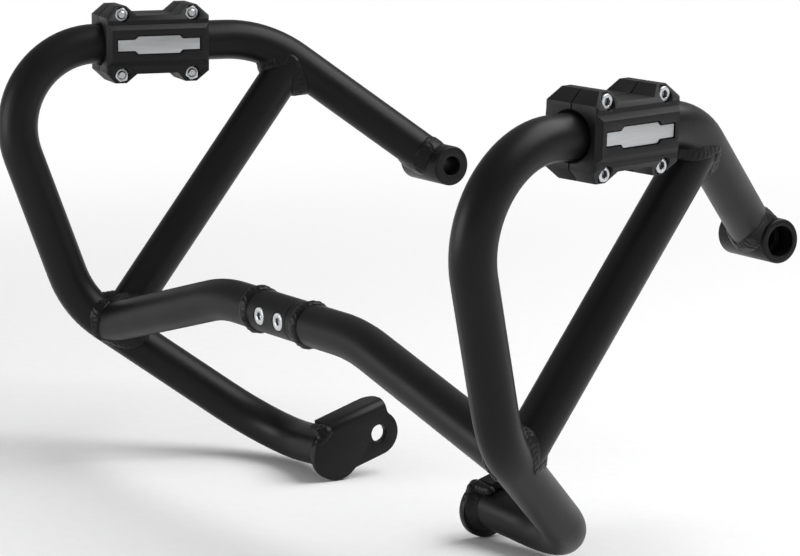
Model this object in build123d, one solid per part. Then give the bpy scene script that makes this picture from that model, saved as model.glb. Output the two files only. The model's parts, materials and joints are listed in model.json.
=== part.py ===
"""Motorcycle crash bars: two welded tube halves bolted together in the middle, with clamp-on sliders."""

import os
from math import sqrt

from build123d import *

# All sizes are in millimetres and degrees.
# While modelling, x points to the rider's left, y to the rear and z up.
# The datum is the middle of the front cross tube, on its centre line.
# The left half is drawn and the right half is its mirror image.

# Tube stock and welds
tube_diameter = 25.0
tube_wall = 2.5
bead_leg = 3.6
cope_inset = 3.0

# Upper bush, a turned sleeve lying across the vehicle
bush_middle_x = 165.0
bush_y = 211.0
bush_z = 54.0
bush_overhang = 8.0
bush_step = 0.25
bush_hole = 12.5
bush_tube_inset = 1.8
bush_counterbore = 17.7
bush_counterbore_depth = 13.0
bush_rim_chamfer = 0.8

# Corners of the hoop's centre line and its bend radii, from the bush to the bracket
top_run_z = 134.0
rear_corner_x = 221.0
rear_corner_y = 115.5
nose_corner_x = 261.0
nose_corner_y = -64.0
front_corner_x = 232.0
front_corner_y = -13.0
front_corner_z = -28.0
low_corner_x = 162.5
low_corner_y = 91.5
low_corner_z = -112.0
foot_y = 83.8
foot_z = -104.2
rear_bend = 70.0
nose_bend = 52.0
front_bend = 62.0
low_bend = 60.0

# Brace and cross arm, placed by their distance from a corner of the hoop
brace_top_from_corner = 23.0
brace_foot_from_corner = 27.0
arm_from_corner = 23.0
arm_corner_x = 73.0
arm_bend = 126.0

# Lower bracket, a plate with two lobes and a folded flange
bracket_face_x = 78.5
bracket_thickness = 4.5
hole_lobe_y = 114.0
hole_lobe_z = -97.2
hole_lobe_radius = 13.8
foot_lobe_margin = 4.3
foot_lobe_drop = 2.2
bracket_hole = 11.0
notch_radius = 5.0
flange_width = 17.5
flange_tube_gap = 0.2
flange_inner_bend = 1.0
flange_front_overhang = 0.6
flange_rear_overhang = 9.6
flange_corner_radius = 8.5

# Middle joint: a sleeve on the right half takes a spigot on the left half
sleeve_start_x = -31.0
seam_x = 15.0
seam_chamfer = 0.5
collar_end_x = 24.0
spigot_diameter = 15.0
spigot_length = 40.0
spigot_clearance = 0.05
joint_bead_width = 9.0
joint_bead_height = 1.8
joint_screw_right_x = -13.5
joint_screw_left_x = 7.0
joint_screw_diameter = 6.0
joint_head_diameter = 10.5
joint_head_height = 3.3
joint_socket = 4.0
joint_pocket_diameter = 11.4
joint_pocket_depth = 3.5
joint_screw_length = 14.0

# Slider clamp on the top run, with walls and reaches counted from the tube's skin
left_clamp_place = 63.0
right_clamp_place = 75.0
left_clamp_roll = -1.4
right_clamp_roll = -0.8
clamp_length = 67.0
clamp_screw_pitch = 46.0
clamp_screw_past_tube = 6.4
clamp_split = 0.8
ear_past_tube = 11.8
waist_past_tube = 5.85
ear_flat = 7.2
ear_edge_wall = 0.4
ridge_wall = 5.7
ridge_past_tube = 3.0
groove_wall = 5.1
groove_past_tube = 0.2
pad_wall = 7.5
pad_inside_tube = 2.7
pad_end_chamfer = 3.0
clamp_mouth_chamfer = 1.8
clamp_seat_inside_tube = 1.9
clamp_pocket_diameter = 9.5
clamp_hole_clearance = 0.25

# Badge plate sunk into each clamp half
badge_length = 53.5
badge_height = 11.0
badge_end_height = 7.0
badge_middle_length = 27.0
badge_thickness = 0.9
badge_recess_depth = 1.4
badge_margin = 0.8

# Clamp screws and nuts
clamp_screw_diameter = 5.0
clamp_head_diameter = 8.5
clamp_head_height = 5.0
clamp_socket = 4.0
nut_across_flats = 8.0
nut_height = 4.0
thread_clearance = 0.05
screw_tip_past_nut = 0.6

# Values worked out from the sizes above
tube_radius = tube_diameter / 2
bush_radius = tube_radius + bush_step
bush_length = tube_diameter + 2 * bush_overhang
bush_end_x = bush_middle_x + bush_length / 2
foot_x = bracket_face_x + bracket_thickness
foot_lobe_radius = tube_radius + foot_lobe_margin
bush_point = Vector(bush_middle_x, bush_y, bush_z)
tube_end = bush_point - Vector(bush_tube_inset, 0, 0)
rear_corner = Vector(rear_corner_x, rear_corner_y, top_run_z)
nose_corner = Vector(nose_corner_x, nose_corner_y, top_run_z)
front_corner = Vector(front_corner_x, front_corner_y, front_corner_z)
low_corner = Vector(low_corner_x, low_corner_y, low_corner_z)
foot_point = Vector(foot_x, foot_y, foot_z)
lower_leg = (low_corner - front_corner).normalized()
rear_leg = (tube_end - rear_corner).normalized()
brace_top = rear_corner + rear_leg * brace_top_from_corner
brace_foot = front_corner + lower_leg * brace_foot_from_corner
arm_corner = Vector(arm_corner_x, 0, 0)
arm_foot = front_corner + lower_leg * arm_from_corner
clamp_screw_rise = tube_diameter + 2 * clamp_screw_past_tube
ear_reach = tube_radius + ear_past_tube
waist_reach = tube_radius + waist_past_tube
ridge_reach = tube_radius + ridge_past_tube
groove_reach = tube_radius + groove_past_tube
pad_reach = tube_radius - pad_inside_tube
ear_edge_depth = tube_radius + ear_edge_wall
ridge_depth = tube_radius + ridge_wall
groove_depth = tube_radius + groove_wall
pad_depth = tube_radius + pad_wall
clamp_seat_depth = tube_radius - clamp_seat_inside_tube
UP_FROM_SEAT = (Align.CENTER, Align.CENTER, Align.MIN)
DOWN_FROM_SEAT = (Align.CENTER, Align.CENTER, Align.MAX)


def straight_bar(start, end, radius):
    """Solid round bar from one point to another."""
    run = end - start
    return extrude(Plane(start, z_dir=run) * Circle(radius), amount=run.length)


def bent_bar(route, bends, radius):
    """Solid round bar along straight runs that are joined by round bends."""
    bar = Part()
    for edge in FilletPolyline(*route, radius=bends).edges():
        section = Plane(edge @ 0, z_dir=edge % 0) * Circle(radius)
        if edge.geom_type == GeomType.LINE:
            bar += extrude(section, amount=edge.length)
        else:
            turn = (edge % 0).cross(edge % 1)
            angle = (edge % 0).get_angle(edge % 1)
            bar += revolve(section, Axis(edge.arc_center, turn), angle)
    return bar


def hoop_bar(radius):
    """The hoop as a solid bar, run a little past the face of the bracket."""
    past_foot = foot_point + (foot_point - low_corner).normalized() * tube_radius
    route = [tube_end, rear_corner, nose_corner, front_corner, low_corner, past_foot]
    return bent_bar(route, [rear_bend, nose_bend, front_bend, low_bend], radius)


def brace_bar(radius):
    """The brace as a solid bar, ending just short of the hoop's centre line."""
    along = (brace_top - brace_foot).normalized()
    return straight_bar(brace_foot + along * cope_inset, brace_top - along * cope_inset, radius)


def arm_bar(start_x, radius):
    """The cross arm as a solid bar from the middle joint to the hoop."""
    inward = (arm_corner - arm_foot).normalized()
    return bent_bar([Vector(start_x, 0, 0), arm_corner, arm_foot + inward * cope_inset], [arm_bend], radius)


def bush_bar(radius, length):
    """Cylinder on the axis of the upper bush."""
    return straight_bar(bush_point - Vector(length / 2, 0, 0), bush_point + Vector(length / 2, 0, 0), radius)


def upper_bush():
    """Turned sleeve with a through hole and a counterbore in its outboard face."""
    bush = bush_bar(bush_radius, bush_length)
    bush = chamfer(bush.edges().filter_by(GeomType.CIRCLE), bush_rim_chamfer)
    bush -= bush_bar(bush_hole / 2, bush_length * 2)
    floor = Vector(bush_end_x - bush_counterbore_depth, bush_y, bush_z)
    return bush - straight_bar(floor, floor + Vector(bush_length, 0, 0), bush_counterbore / 2)


# The bracket lies in its own plane: x from the foot lobe to the hole lobe, y up, z outboard.
hole_lobe = Vector(bracket_face_x, hole_lobe_y, hole_lobe_z)
foot_lobe = Vector(bracket_face_x, foot_y, foot_z - foot_lobe_drop)
lobe_spacing = (hole_lobe - foot_lobe).length
bracket_plane = Plane(hole_lobe, x_dir=hole_lobe - foot_lobe, z_dir=(1, 0, 0))
flange_outer_bend = flange_inner_bend + bracket_thickness
flange_front = -lobe_spacing - flange_front_overhang
flange_rear = flange_rear_overhang
flange_run = flange_rear - flange_front
foot_rise = (foot_point - foot_lobe).dot(bracket_plane.y_dir)
flange_underside = foot_rise + tube_radius + flange_tube_gap
fold_line = flange_underside - flange_inner_bend


def bracket_flat():
    """The flat of the bracket: two lobes joined by a band, up to the fold."""
    flat = Circle(hole_lobe_radius) + Pos(-lobe_spacing, 0) * Circle(foot_lobe_radius)
    band_middle = (fold_line - hole_lobe_radius) / 2
    flat += Pos(-lobe_spacing / 2, band_middle) * Rectangle(lobe_spacing, fold_line + hole_lobe_radius)
    flat += Pos(flange_rear / 2, fold_line / 2) * Rectangle(flange_rear, fold_line)
    flat = offset(offset(flat, notch_radius), -notch_radius)
    reach = 2 * lobe_spacing + 2 * foot_lobe_radius
    flat &= Pos(0, fold_line - reach / 2) * Rectangle(2 * reach, reach)
    return extrude(flat, amount=bracket_thickness)


def bracket_flange():
    """The fold and the flange, with the rear corner of the flange rounded."""
    fold = Circle(flange_outer_bend) - Circle(flange_inner_bend)
    half_bend = flange_outer_bend / 2
    fold &= Pos(half_bend, -half_bend) * Rectangle(flange_outer_bend, flange_outer_bend)
    lip_width = flange_width - flange_outer_bend
    lip_middle = flange_inner_bend + bracket_thickness / 2
    fold += Pos(lip_middle, lip_width / 2) * Rectangle(bracket_thickness, lip_width)
    fold = Pos(fold_line, flange_outer_bend) * fold
    flange = extrude(Plane.YZ.offset(flange_front) * fold, amount=flange_run)
    plan = Pos(flange_front + flange_run / 2, flange_width / 2) * Rectangle(flange_run, flange_width)
    corner = plan.vertices().sort_by(lambda v: v.X + v.Y)[-1]
    plan = fillet(corner, flange_corner_radius)
    return flange & extrude(Plane.XZ * plan, amount=4 * hole_lobe_radius, both=True)


def lower_bracket():
    """Folded plate bracket with one bolt hole."""
    hole = Cylinder(bracket_hole / 2, 4 * bracket_thickness)
    return bracket_plane * (bracket_flat() + bracket_flange() - hole)


def bracket_weld(bracket, hoop_solid):
    """Bead round the tube on the plate and along the flange above the tube."""
    ring_size = 4 * foot_lobe_radius
    ring = Pos(-lobe_spacing, 0, bracket_thickness) * Box(ring_size, ring_size, bead_leg, align=UP_FROM_SEAT)
    run = 2 * tube_radius
    depth = flange_width - bracket_thickness - flange_inner_bend
    crotch = Box(run, tube_radius, depth, align=(Align.MIN, Align.MAX, Align.MIN))
    crotch = Pos(flange_front - bead_leg, flange_underside, bracket_thickness) * crotch
    return (hoop_bar(tube_radius + bead_leg) & (bracket_plane * (ring + crotch))) - hoop_solid - bracket


def ring_weld(middle_x):
    """Low round-topped bead running round the cross tube."""
    half = joint_bead_width / 2
    crown = ThreePointArc((-half, tube_radius), (0, tube_radius + joint_bead_height), (half, tube_radius))
    section = make_face(crown + Line((half, tube_radius), (-half, tube_radius)))
    return Pos(middle_x, 0, 0) * revolve(section, Axis.X)


def socket_screw(head_diameter, head_height, socket, diameter, length):
    """Socket screw standing on its seat at z = 0, with the shank pointing down."""
    head = Cylinder(head_diameter / 2, head_height, align=UP_FROM_SEAT)
    head = chamfer(head.edges().sort_by(Axis.Z)[-1], head_diameter * 0.05)
    key = extrude(RegularPolygon(socket / sqrt(3), 6), amount=head_height)
    head -= Pos(0, 0, head_height * 0.45) * key
    return head + Cylinder(diameter / 2, length, align=DOWN_FROM_SEAT)


# Both joint screws enter from the front, square to the cross tube.
joint_seat_y = joint_pocket_depth - tube_radius
joint_screw_xs = [joint_screw_right_x, joint_screw_left_x]
joint_seats = [Plane((x, joint_seat_y, 0), x_dir=(1, 0, 0), z_dir=(0, -1, 0)) for x in joint_screw_xs]


def joint_shank_holes():
    """Holes for the shanks of both joint screws."""
    hole = Cylinder(joint_screw_diameter / 2 + thread_clearance, joint_screw_length + 1, align=DOWN_FROM_SEAT)
    return Part() + [seat * hole for seat in joint_seats]


def joint_sleeve():
    """Sleeve that ends the right half, with two counterbored screw holes."""
    bore_end = Vector(seam_x - spigot_length - 1, 0, 0)
    sleeve = straight_bar(Vector(sleeve_start_x, 0, 0), Vector(seam_x, 0, 0), tube_radius)
    sleeve = chamfer(sleeve.edges().sort_by(Axis.X)[-1], seam_chamfer)
    sleeve -= straight_bar(bore_end, Vector(seam_x + 1, 0, 0), spigot_diameter / 2 + spigot_clearance)
    pocket = Cylinder(joint_pocket_diameter / 2, tube_radius, align=UP_FROM_SEAT)
    pockets = [seat * pocket for seat in joint_seats]
    return sleeve - pockets - joint_shank_holes()


def joint_spigot():
    """Spigot with a collar that ends the left half."""
    collar = straight_bar(Vector(seam_x, 0, 0), Vector(collar_end_x, 0, 0), tube_radius)
    collar = chamfer(collar.edges().sort_by(Axis.X)[0], seam_chamfer)
    nose = straight_bar(Vector(seam_x - spigot_length, 0, 0), Vector(collar_end_x, 0, 0), spigot_diameter / 2)
    return collar + nose - joint_shank_holes()


def joint_screws():
    """The two screws that lock the joint."""
    screw = socket_screw(
        joint_head_diameter, joint_head_height, joint_socket, joint_screw_diameter, joint_screw_length
    )
    return [seat * screw for seat in joint_seats]


# The clamp lies in its own frame: x along the tube, z outboard.
half_length = clamp_length / 2
screw_spots = GridLocations(clamp_screw_pitch, clamp_screw_rise, 2, 2)


def mirrored_outline(points):
    """Closed face from the points of its upper half, taken from left to right."""
    lower = [(x, -y) for x, y in reversed(points)]
    return make_face(Polyline(*points, *lower, close=True))


def clamp_body():
    """Body of one clamp half: front outline, end outline and top outline in common."""
    ear_x = clamp_screw_pitch / 2
    slope = ear_reach - waist_reach
    inner = ear_x - ear_flat / 2
    outer = ear_x + ear_flat / 2
    end_reach = ear_reach - (half_length - outer)
    rise = [(inner - slope, waist_reach), (inner, ear_reach), (outer, ear_reach), (half_length, end_reach)]
    front = mirrored_outline([(-x, y) for x, y in reversed(rise)] + rise)
    half_split = clamp_split / 2
    end = [
        (ear_reach, half_split),
        (ear_reach, ear_edge_depth),
        (ridge_reach, ridge_depth),
        (groove_reach, groove_depth),
        (pad_reach, pad_depth),
    ]
    end = make_face(Polyline(*end, *[(-y, z) for y, z in reversed(end)], close=True))
    shoulder = pad_depth - pad_end_chamfer
    top = [(half_length, half_split), (half_length, shoulder), (half_length - pad_end_chamfer, pad_depth)]
    top = make_face(Polyline(*top, *[(-x, z) for x, z in reversed(top)], close=True))
    body = extrude(front, amount=2 * pad_depth)
    body &= extrude(Plane.YZ * end, amount=clamp_length, both=True)
    return body & extrude(Plane.XZ * top, amount=2 * ear_reach, both=True)


def badge_outline(margin):
    """Outline of the badge: a taller middle between two lower ends."""
    middle = badge_middle_length / 2 + margin
    shoulder = middle + (badge_height - badge_end_height) / 2
    tip = badge_length / 2 + margin
    high = badge_height / 2 + margin
    low = badge_end_height / 2 + margin
    rise = [(middle, high), (shoulder, low), (tip, low)]
    return mirrored_outline([(-x, y) for x, y in reversed(rise)] + rise)


def clamp_half():
    """One clamp half with its bore, screw holes, spot faces and badge recess."""
    half = clamp_body() - Rot(0, 90, 0) * Cylinder(tube_radius, 2 * clamp_length)
    mouth = Cone(tube_radius + clamp_mouth_chamfer, tube_radius, clamp_mouth_chamfer, align=UP_FROM_SEAT)
    half -= Pos(-half_length, 0, 0) * Rot(0, 90, 0) * mouth
    half -= Pos(half_length, 0, 0) * Rot(0, -90, 0) * mouth
    half -= screw_spots * Cylinder(clamp_screw_diameter / 2 + clamp_hole_clearance, 4 * pad_depth)
    pocket = Cylinder(clamp_pocket_diameter / 2, pad_depth, align=UP_FROM_SEAT)
    half -= screw_spots * (Pos(0, 0, clamp_seat_depth) * pocket)
    recess = extrude(badge_outline(badge_margin), amount=pad_depth)
    return half - Pos(0, 0, pad_depth - badge_recess_depth) * recess


def badge():
    """Bare badge plate lying on the floor of its recess."""
    plate = extrude(badge_outline(0), amount=badge_thickness)
    return Pos(0, 0, pad_depth - badge_recess_depth) * plate


def clamp_screw():
    """Screw through both clamp halves and the nut, standing on its spot face."""
    length = 2 * clamp_seat_depth + nut_height + screw_tip_past_nut
    screw = socket_screw(clamp_head_diameter, clamp_head_height, clamp_socket, clamp_screw_diameter, length)
    return Pos(0, 0, clamp_seat_depth) * screw


def clamp_nut():
    """Hex nut with turned-down corners, lying on the spot face of the inner half."""
    corner = nut_across_flats / sqrt(3)
    blank = Cylinder(corner, nut_height, align=UP_FROM_SEAT)
    blank = chamfer(blank.edges().sort_by(Axis.Z)[-1], corner * 0.12)
    nut = blank & extrude(RegularPolygon(corner, 6), amount=nut_height)
    nut -= Cylinder(clamp_screw_diameter / 2 + thread_clearance, 4 * nut_height)
    return Pos(0, 0, clamp_seat_depth) * nut


def clamp_nodes(place, roll):
    """All pieces of one slider clamp, put on the top run of the left hoop."""
    along = (nose_corner - rear_corner).normalized()
    outboard = Vector(-along.Y, along.X, 0)
    here = Plane(rear_corner + along * place, x_dir=along, z_dir=outboard).location * Rot(roll, 0, 0)
    turned = Rot(180, 0, 0)
    half = clamp_half()
    return {
        "clamp_outer": here * half,
        "clamp_inner": here * (turned * half),
        "badge_outer": here * badge(),
        "badge_inner": here * (turned * badge()),
        "clamp_screws": [here * spot * clamp_screw() for spot in screw_spots],
        "clamp_nuts": [here * turned * spot * clamp_nut() for spot in screw_spots],
    }


def half_nodes(joint_x, place, roll):
    """All pieces of one half, drawn on the left."""
    hoop_solid = hoop_bar(tube_radius)
    brace_solid = brace_bar(tube_radius)
    arm_solid = arm_bar(joint_x, tube_radius)
    bush_solid = bush_bar(bush_radius, bush_length)
    bore = tube_radius - tube_wall
    beyond_bracket = Pos(foot_x, foot_y, foot_z) * Box(
        4 * tube_diameter, 4 * tube_diameter, 4 * tube_diameter, align=(Align.MAX, Align.CENTER, Align.CENTER)
    )
    fat_hoop = hoop_bar(tube_radius + bead_leg)
    fat_brace = brace_bar(tube_radius + bead_leg)
    fat_arm = arm_bar(joint_x, tube_radius + bead_leg)
    fat_bush = bush_bar(bush_radius + bead_leg, bush_length - 2 * bush_rim_chamfer)
    bracket = lower_bracket()
    foot_weld = (fat_brace & (fat_hoop + fat_arm)) - hoop_solid - brace_solid - arm_solid
    foot_weld = foot_weld.solids().sort_by(Axis.Z)[0]
    nodes = {
        "main_hoop": hoop_solid - hoop_bar(bore) - bush_solid - beyond_bracket - bracket,
        "brace_tube": brace_solid - brace_bar(bore) - hoop_solid - arm_solid,
        "cross_tube": arm_solid - arm_bar(joint_x, bore) - hoop_solid,
        "upper_bush": upper_bush(),
        "lower_bracket": bracket,
        "bush_weld": (fat_hoop & fat_bush) - hoop_solid - bush_solid,
        "brace_top_weld": ((fat_brace & fat_hoop) - hoop_solid - brace_solid).solids().sort_by(Axis.Z)[-1],
        "brace_foot_weld": foot_weld,
        "arm_weld": (fat_arm & fat_hoop) - hoop_solid - arm_solid - brace_solid - foot_weld,
        "bracket_weld": bracket_weld(bracket, hoop_solid),
        "joint_weld": ring_weld(joint_x),
    }
    nodes.update(clamp_nodes(place, roll))
    return nodes


def as_list(shape):
    """The solids of one piece, or of a group of pieces."""
    pieces = shape if isinstance(shape, list) else [shape]
    return [solid for piece in pieces for solid in piece.solids()]


parts = {}
for name, shape in half_nodes(collar_end_x, left_clamp_place, left_clamp_roll).items():
    parts["left_" + name] = as_list(shape)
for name, shape in half_nodes(-sleeve_start_x, right_clamp_place, right_clamp_roll).items():
    parts["right_" + name] = [mirror(solid, about=Plane.YZ) for solid in as_list(shape)]
parts["joint_sleeve"] = as_list(joint_sleeve())
parts["joint_spigot"] = as_list(joint_spigot())
parts["joint_screws"] = as_list(joint_screws())

# Stand the finished part on the ground plane, centred over the origin.
box = Compound([solid for solids in parts.values() for solid in solids]).bounding_box()
stand = Pos(0, -(box.min.Y + box.max.Y) / 2, -box.min.Z)
os.makedirs("parts", exist_ok=True)
for name, solids in parts.items():
    export_step(Compound([stand * solid for solid in solids]), "parts/" + name + ".step")
print(len(parts), "nodes, moved by", stand.position, "from", box.min, "to", box.max)
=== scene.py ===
# %% [markdown]
# Motorcycle crash bars
#
# Two halves of bent tube are welded up, powder coated black and bolted together at the front.
# The CAD model brings every rigid piece in its true place. This lesson dresses it: it lays
# rippled weld beads, turns the fasteners, softens the edges, and gives each surface the finish
# that it has on the real bars. Blender counts in metres, so millimetres are multiplied by MM.

import json
from collections import namedtuple
from math import atan2, cos, pi, radians, sin, sqrt

import bmesh
import bpy
import numpy as np
from mathutils import Matrix, Vector


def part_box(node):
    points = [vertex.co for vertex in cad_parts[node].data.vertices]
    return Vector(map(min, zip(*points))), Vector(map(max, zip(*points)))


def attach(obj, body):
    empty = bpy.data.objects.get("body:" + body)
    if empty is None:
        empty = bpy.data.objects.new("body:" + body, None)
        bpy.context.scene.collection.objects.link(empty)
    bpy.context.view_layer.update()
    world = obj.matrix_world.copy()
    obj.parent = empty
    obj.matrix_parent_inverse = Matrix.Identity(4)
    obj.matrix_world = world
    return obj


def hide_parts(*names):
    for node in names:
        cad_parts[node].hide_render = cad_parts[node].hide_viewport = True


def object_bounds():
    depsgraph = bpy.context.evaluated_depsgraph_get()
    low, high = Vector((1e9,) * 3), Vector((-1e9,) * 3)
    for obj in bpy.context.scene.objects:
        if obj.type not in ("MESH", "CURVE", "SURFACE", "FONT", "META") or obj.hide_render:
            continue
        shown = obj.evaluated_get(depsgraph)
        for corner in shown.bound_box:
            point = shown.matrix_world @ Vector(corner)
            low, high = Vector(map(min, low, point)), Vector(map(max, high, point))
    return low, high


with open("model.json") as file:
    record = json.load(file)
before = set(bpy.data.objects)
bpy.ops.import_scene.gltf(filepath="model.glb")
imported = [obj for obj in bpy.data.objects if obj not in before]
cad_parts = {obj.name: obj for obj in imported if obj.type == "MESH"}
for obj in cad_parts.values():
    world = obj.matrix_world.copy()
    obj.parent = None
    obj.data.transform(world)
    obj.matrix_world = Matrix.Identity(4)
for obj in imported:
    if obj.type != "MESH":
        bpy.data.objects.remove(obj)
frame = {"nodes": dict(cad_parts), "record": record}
nodes = frame["nodes"]
scene = bpy.context.scene
cad_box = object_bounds()
MM = 0.001
SIDES = (("left", 1), ("right", -1))
print(len(nodes), "CAD nodes, box", [round(v, 4) for v in cad_box[1] - cad_box[0]])

# %% [markdown]
# Helpers for materials
#
# Paint charts give colours as sRGB hex values, while Blender's shaders work in linear light,
# so one function converts them. Nodes could be wired by hand in the editor. Here one function
# adds a node, sets it and links it in a single call, so that a material can be read from top
# to bottom. Real finishes are never quite even, so another function lets a colour and a
# roughness drift with a noise, each between two ends.


# %% Colour and node helpers
def linear(hex_text):
    """Linear RGBA of an sRGB hex colour such as 1a1a1a."""
    parts = [int(hex_text[i : i + 2], 16) / 255 for i in (0, 2, 4)]
    return [c / 12.92 if c <= 0.04045 else ((c + 0.055) / 1.055) ** 2.4 for c in parts] + [1.0]


def put(tree, kind, inputs=None, **settings):
    """Adds a node with its settings, and sets or links its inputs."""
    node = tree.nodes.new(kind)
    for name, value in settings.items():
        setattr(node, name, value)
    for socket, value in (inputs or {}).items():
        if isinstance(value, bpy.types.NodeSocket):
            tree.links.new(value, node.inputs[socket])
        else:
            node.inputs[socket].default_value = value
    return node


def blank_material(name):
    """New material, its tree with nothing but Object coordinates, and their socket."""
    material = bpy.data.materials.new(name)
    material.use_nodes = True
    tree = material.node_tree
    tree.nodes.clear()
    return material, tree, put(tree, "ShaderNodeTexCoord").outputs["Object"]


# A noise mostly stays between these two values.
NOISE_LOW, NOISE_HIGH = 0.3, 0.7


def drift(tree, tint_by, dark, light, rough_by, low, high):
    """Colour and roughness that follow noises, each between two ends."""
    tint = put(tree, "ShaderNodeValToRGB", {"Fac": tint_by})
    tint.color_ramp.elements[0].color = linear(dark)
    tint.color_ramp.elements[1].color = linear(light)
    rough = put(
        tree,
        "ShaderNodeMapRange",
        {
            "Value": rough_by,
            "From Min": NOISE_LOW,
            "From Max": NOISE_HIGH,
            "To Min": low,
            "To Max": high,
        },
    )
    return {"Base Color": tint.outputs["Color"], "Roughness": rough.outputs["Result"]}


for grey in ("ffffff", "808080"):
    print(grey, "is", [round(v, 3) for v in linear(grey)])

# %% [markdown]
# Satin black powder coat
#
# The tubes, welds, bushes and brackets share one baked powder coat. The powder melts into a
# thick skin with a faint orange peel, so highlights on it are soft and slightly mottled, while
# a plain black shader would look like smooth plastic. A low bump makes the peel and a slow
# noise varies the gloss and the tint. The bump is drawn a little coarser than the real peel,
# so that it still shows from two metres away. The coat mirrors less than a smooth lacquer, so
# its specular level is 0.2 where 0.5 is usual.


# %% Powder coat
def powder_coat_material():
    """Satin black powder coat on steel."""
    material, tree, where = blank_material("powder_coat_satin_black")
    peel_length = 2.2 * MM
    cloud_length = 30 * MM
    peel = put(
        tree,
        "ShaderNodeTexNoise",
        {"Vector": where, "Scale": 1 / peel_length, "Detail": 2.0, "Roughness": 0.5},
    )
    cloud = put(
        tree, "ShaderNodeTexNoise", {"Vector": where, "Scale": 1 / cloud_length, "Detail": 3.0}
    ).outputs["Fac"]
    skin = drift(tree, cloud, "0b0b0c", "131314", cloud, 0.36, 0.43)
    skin["Specular IOR Level"] = 0.2
    skin["Normal"] = put(
        tree,
        "ShaderNodeBump",
        {"Height": peel.outputs["Fac"], "Strength": 0.35, "Distance": 0.06 * MM},
    ).outputs["Normal"]
    shader = put(tree, "ShaderNodeBsdfPrincipled", skin)
    put(tree, "ShaderNodeOutputMaterial", {"Surface": shader.outputs["BSDF"]})
    return material


powder_coat = powder_coat_material()
print("made", powder_coat.name)

# %% [markdown]
# Moulded slider plastic
#
# The clamp halves are moulded in black glass-filled nylon. The mould was spark eroded, which
# leaves an even matt grain, so the faces look flat and dry next to the coated tube. A picture
# of such a grain would need an unwrapped mesh, and a noise on Object coordinates needs none.
# The grain is about 0.4 mm on the real part and is drawn at 0.9 mm so that it shows.


# %% Slider plastic
def slider_plastic_material():
    """Matt black moulded nylon."""
    material, tree, where = blank_material("moulded_nylon_matt_black")
    grain_size = 0.9 * MM
    flow_length = 18 * MM
    grain = put(
        tree,
        "ShaderNodeTexNoise",
        {"Vector": where, "Scale": 1 / grain_size, "Detail": 3.0, "Roughness": 0.6},
    ).outputs["Fac"]
    flow = put(
        tree, "ShaderNodeTexNoise", {"Vector": where, "Scale": 1 / flow_length, "Detail": 2.0}
    ).outputs["Fac"]
    skin = drift(tree, flow, "0d0d0e", "161617", grain, 0.46, 0.58)
    skin["Specular IOR Level"] = 0.25
    skin["Normal"] = put(
        tree, "ShaderNodeBump", {"Height": grain, "Strength": 0.4, "Distance": 0.05 * MM}
    ).outputs["Normal"]
    shader = put(tree, "ShaderNodeBsdfPrincipled", skin)
    put(tree, "ShaderNodeOutputMaterial", {"Surface": shader.outputs["BSDF"]})
    return material


slider_plastic = slider_plastic_material()
print("made", slider_plastic.name)

# %% [markdown]
# Bright zinc plate
#
# The screws and nuts are zinc plated steel, a bright metal with a slightly cloudy, bluish grey
# sheen. Cloudy roughness says more about it than any colour pattern does. Inside the key
# sockets the metal is painted a darker grey, as painted shade for the dark deep in a socket.
# A number that the screw meshes carry marks where. Painting sockets by hand would have to
# be done for each screw.


# %% Zinc plate
def zinc_material():
    """Bright zinc plated steel."""
    material, tree, where = blank_material("zinc_plated_steel")
    cloud_length = 1.6 * MM
    cloud = put(
        tree,
        "ShaderNodeTexNoise",
        {"Vector": where, "Scale": 1 / cloud_length, "Detail": 4.0, "Roughness": 0.6},
    ).outputs["Fac"]
    skin = drift(tree, cloud, "b9bcc0", "d9dadb", cloud, 0.24, 0.4)
    # Painted shade: where the screw meshes mark a key socket, the zinc is mixed toward a darker
    # grey.
    socket_painted_shade = put(tree, "ShaderNodeAttribute", attribute_name="socket_painted_shade").outputs["Fac"]
    skin["Base Color"] = put(
        tree,
        "ShaderNodeMix",
        {"Factor": socket_painted_shade, "A": skin["Base Color"], "B": linear("94969a")},
        data_type="RGBA",
    ).outputs["Result"]
    skin["Metallic"] = 1.0
    shader = put(tree, "ShaderNodeBsdfPrincipled", skin)
    put(tree, "ShaderNodeOutputMaterial", {"Surface": shader.outputs["BSDF"]})
    return material


zinc = zinc_material()
print("made", zinc.name)

# %% [markdown]
# Brushed aluminium badge plates
#
# Each clamp half carries a thin anodised aluminium plate. It was brushed along its length
# before anodising, so fine streaks run from end to end. Anisotropic gloss would give the sheen
# without the streaks, so a noise is stretched along the plate instead. A Mapping node turns it
# to the direction of the top run, which leans outboard towards the front. The streaks are drawn
# half a millimetre wide, coarser than real ones, so that they show.


# %% Badge aluminium
def badge_material(name, turn):
    """Satin anodised aluminium, brushed along a direction in plan."""
    material, tree, where = blank_material(name)
    streak_length = 14 * MM
    streak_width = 0.5 * MM
    along = put(
        tree,
        "ShaderNodeMapping",
        {
            "Vector": where,
            "Rotation": (0, 0, turn),
            "Scale": (streak_width, streak_length, streak_width),
        },
        vector_type="TEXTURE",
    ).outputs["Vector"]
    streaks = put(
        tree, "ShaderNodeTexNoise", {"Vector": along, "Scale": 1.0, "Detail": 3.0}
    ).outputs["Fac"]
    skin = drift(tree, streaks, "a3a5a7", "c9cacb", streaks, 0.34, 0.48)
    skin["Metallic"] = 1.0
    skin["Normal"] = put(
        tree, "ShaderNodeBump", {"Height": streaks, "Strength": 0.3, "Distance": 0.02 * MM}
    ).outputs["Normal"]
    shader = put(tree, "ShaderNodeBsdfPrincipled", skin)
    put(tree, "ShaderNodeOutputMaterial", {"Surface": shader.outputs["BSDF"]})
    return material


top_run_out, top_run_back = 40, 179.5
top_run_turn = atan2(top_run_out, top_run_back)
badge_finish = {
    side: badge_material("brushed_aluminium_" + side, sign * top_run_turn) for side, sign in SIDES
}
print("made", [m.name for m in badge_finish.values()])

# %% [markdown]
# Finish on the CAD pieces
#
# The record names a material slot for every CAD node. Finishes could be picked by hand, piece
# by piece, but looking each one up in the record leaves no piece out. The plates are the only
# ones with a finish for each side, because their brushing runs in mirrored directions.

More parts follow.
